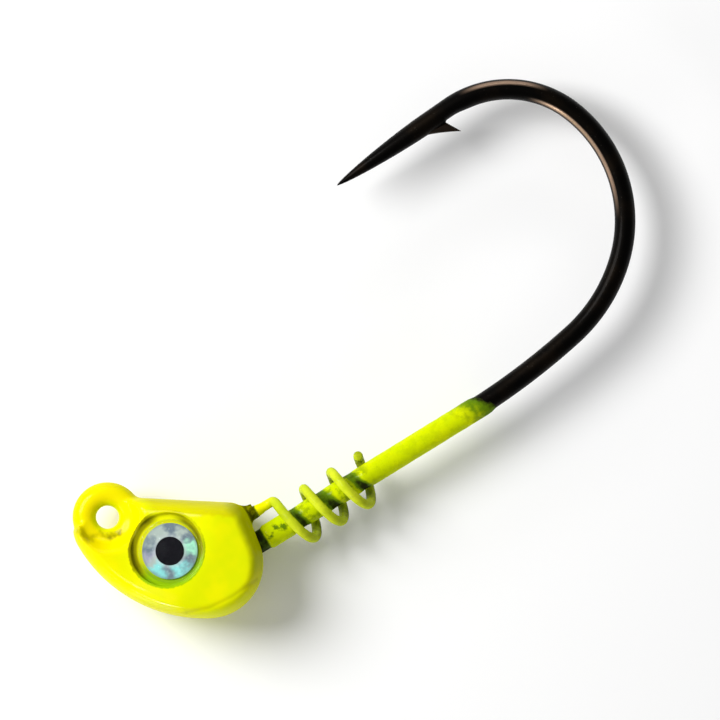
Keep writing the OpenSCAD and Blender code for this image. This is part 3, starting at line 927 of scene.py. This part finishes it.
# how far before the paint's ragged, slanting end each point lies
ends_at = COAT_END + 0.1 - across * WIRE_R * math.tan(math.radians(FADE_SLANT))
left = ends_at - cx + 0.2 * c_lumps
film = smooth_step(-0.35, 0.5, left)
covered = 0.45 * smooth_step(-0.55, 0.45, left) + 0.55 * smooth_step(0.2, 3.2, left)
# the keeper's turns kept the paint off the wire just behind each of them:
# middle of each worn stretch, its lean across the wire and half its length
WORN = [(13.6, 0.12, 0.42), (16.45, 0.35, 0.55), (19.3, 0.35, 0.5)]
hidden = np.zeros(cx.shape)
for middle, lean_back, half in WORN:
    off = np.abs(cx - middle + lean_back * across + 0.12 * c_lumps)
    hidden = np.maximum(hidden, smooth_step(half + 0.3, half - 0.4, off))
# painted shade: the stretches are drawn darker towards the wire's side away from the point
hidden = hidden * (0.80 - 0.16 * across)
in_coil = smooth_step(12.9, 13.3, cx) * smooth_step(20.7, 20.1, cx)
# the paint is thin where the shank leaves the head, and the head's shadow is painted dark there
neck = smooth_step(STUB_FROM + 0.05, STUB_FROM - 0.2, cx) * 0.85
bare_and_shade = np.clip(np.maximum(np.maximum(hidden, neck), 1 - covered), 0, 1)
stub = smooth_step(STUB_FROM - 0.05, STUB_FROM + 0.2, cx) * smooth_step(STUB_TO, STUB_TO - 0.3, cx)
thick = COAT_T + (STUB_T - COAT_T) * stub + 0.02 * c_lumps
thick = thick * (1 - 0.75 * np.maximum(hidden, neck)) * film - PAINT_SUNK * (1 - film)
c_verts, c_faces = tube(np.column_stack([c_points, np.zeros(len(c_points))]), c_side,
                           wire_here + np.minimum(thick, STUB_T - PAINT_IN), c_sides)


def with_ends(values):
    """The values for all the tube's points, with the middles of its two ends."""
    flat = values.reshape(-1)
    return np.concatenate([flat, values[0, :1], values[-1, :1]])


stub_blotch = stub * smooth_step(0.5, 0.3, np.abs(across - 0.15))
shank = piece("shank_paint", c_verts, c_faces,
              wire_paint("shank_enamel", srgb(214, 226, 0), srgb(200, 219, 0),
                         srgb(94, 126, 10), srgb(34, 42, 8)),
              {"warm": np.zeros(len(c_verts)),
               "mottle": with_ends(np.clip(0.12 + 1.0 * stub_blotch + 0.4 * in_coil, 0, 1)),
               "bare_and_shade": with_ends(bare_and_shade)})
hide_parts("shank_coat")


# ---------------------------------------------------------------- eyes
LENS_WAIST = 0.2  # height of a ring of points on its wall
LENS_FOOT = 0.02  # height of its underside round the adhesive
LENS_GAP = 0.01  # between it and the discs
DOME_STEPS, SHOULDER_STEPS, LENS_SIDES = 21, 8, 96


def lens(flip):
    """A clear dome on the foil, with a rounded shoulder, turned round the eye's axis."""
    rise = LENS_H - LENS_RIM_H
    crown = (LENS_R ** 2 + rise ** 2) / (2 * rise)  # radius of the dome's ball
    flat_r = LENS_R - LENS_SHOULDER
    profile = []
    for i in range(DOME_STEPS + 1):
        r = flat_r * i / DOME_STEPS
        profile.append((r, LENS_H - crown + math.sqrt(crown ** 2 - r ** 2)))
    shoulder_h = profile[-1][1]
    for i in range(1, SHOULDER_STEPS + 1):
        a = math.radians(90 * i / SHOULDER_STEPS)
        profile.append((flat_r + LENS_SHOULDER * math.sin(a),
                        shoulder_h - LENS_SHOULDER * (1 - math.cos(a))))
    inner_r, inner_h = FOIL_R + LENS_GAP, EYE_LAYERS + LENS_GAP
    profile += [(LENS_R, LENS_WAIST), (LENS_R, LENS_FOOT), (inner_r, LENS_FOOT), (inner_r, inner_h),
                (0, inner_h)]
    n, verts, rim = LENS_SIDES, [], []
    for r, h in profile[1:-1]:
        for k in range(n):
            a = 2 * math.pi * k / n
            verts.append(eye_point(r * math.cos(a), r * math.sin(a), h))
            rim.append(float(smooth_step(FOIL_R - 0.05, LENS_R, np.float64(r))))
    rows = len(profile) - 2
    faces = [(j * n + k, (j + 1) * n + k, (j + 1) * n + (k + 1) % n, j * n + (k + 1) % n)
             for j in range(rows - 1) for k in range(n)]
    top, bottom = len(verts), len(verts) + 1
    verts += [eye_point(0, 0, profile[0][1]), eye_point(0, 0, profile[-1][1])]
    rim += [0.0, 0.0]
    faces += [(top, k, (k + 1) % n) for k in range(n)]
    faces += [(bottom, (rows - 1) * n + (k + 1) % n, (rows - 1) * n + k) for k in range(n)]
    verts = np.array(verts)
    if flip:
        verts = verts * np.array([1, 1, -1])
        faces = [f[::-1] for f in faces]
    return verts, faces, rim


clear = lens_material()
foil = foil_material()
print_black = pupil_material()
foam = adhesive_material()
for cheek, flip in (("left", False), ("right", True)):
    v, f, rim = lens(flip)
    dome = piece(cheek + "_clear_dome", v, f, clear, {"rim": rim})
    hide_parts(cheek + "_eye_lens")
    for node_name, material in (("foil", foil), ("pupil", print_black), ("adhesive", foam)):
        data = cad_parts[f"{cheek}_eye_{node_name}"].data
        data.materials.clear()
        data.materials.append(material)


# ---------------------------------------------------------------- studio
def stage_floor():
    """A plain sheet just under the object."""
    size = 1.5  # half its width in metres
    mesh = bpy.data.meshes.new("studio_floor")
    z = cad_lo.z - 0.02 * MM
    mesh.from_pydata([(-size, -size, z), (size, -size, z), (size, size, z), (-size, size, z)],
                     [], [(0, 1, 2, 3)])
    mesh.materials.append(floor_material())
    obj = bpy.data.objects.new("studio_floor", mesh)
    bpy.context.scene.collection.objects.link(obj)


def softbox(name, shape, towards, distance, size, watts):
    """A soft lamp in that direction from the object."""
    data = bpy.data.lights.new(name, "AREA")
    data.shape = shape
    data.size, data.size_y = size
    data.energy = watts
    obj = bpy.data.objects.new(name, data)
    direction = Vector(towards).normalized()
    obj.location = centre + direction * distance
    obj.rotation_euler = direction.to_track_quat("Z", "Y").to_euler()
    bpy.context.scene.collection.objects.link(obj)


# name, shape, direction from the object, distance and size in metres, watts
LAMPS = [
    ("key", "DISK", (-0.40, 0.58, 0.71), 0.45, (0.26, 0.26), 2.15),
    ("low_front", "RECTANGLE", (-0.78, -0.59, 0.15), 0.45, (0.16, 0.018), 0.5),
    ("left_strip", "RECTANGLE", (-0.95, -0.05, 0.30), 0.40, (0.30, 0.03), 0.2),
    ("far_strip", "RECTANGLE", (0.45, 0.80, 0.35), 0.40, (0.30, 0.03), 0.15),
]
stage_floor()
centre = (cad_lo + cad_hi) / 2
for lamp in LAMPS:
    softbox(*lamp)

SKY = 0.28  # strength of the even white light from all round
world = bpy.data.worlds.new("studio")
bpy.context.scene.world = world
world.use_nodes = True
background = world.node_tree.nodes["Background"].inputs
background["Color"].default_value = (1, 1, 1, 1)
background["Strength"].default_value = SKY

# ---------------------------------------------------------------- camera
SHANK_RISE = 31.66  # how steeply the shank rises in the view, in degrees
FRAME_W = 60 * MM  # width of the view at the hook's plane
LENS_MM = 800
AIM_OFF = (0.33, -1.24)  # the view's middle from the middle of the CAD's box, in mm
data = bpy.data.cameras.new("camera")
data.lens = LENS_MM
data.sensor_width = 36
camera = bpy.data.objects.new("camera", data)
distance = FRAME_W * LENS_MM / data.sensor_width
aim = Vector((centre.x + AIM_OFF[0] * MM, centre.y + AIM_OFF[1] * MM, 0))
camera.location = aim + Vector((0, 0, distance))
camera.rotation_euler = (0, 0, -math.radians(SHANK_RISE))
data.clip_start = 0.005
data.clip_end = 20
bpy.context.scene.collection.objects.link(camera)
bpy.context.scene.camera = camera
bpy.context.scene.view_settings.view_transform = "Standard"
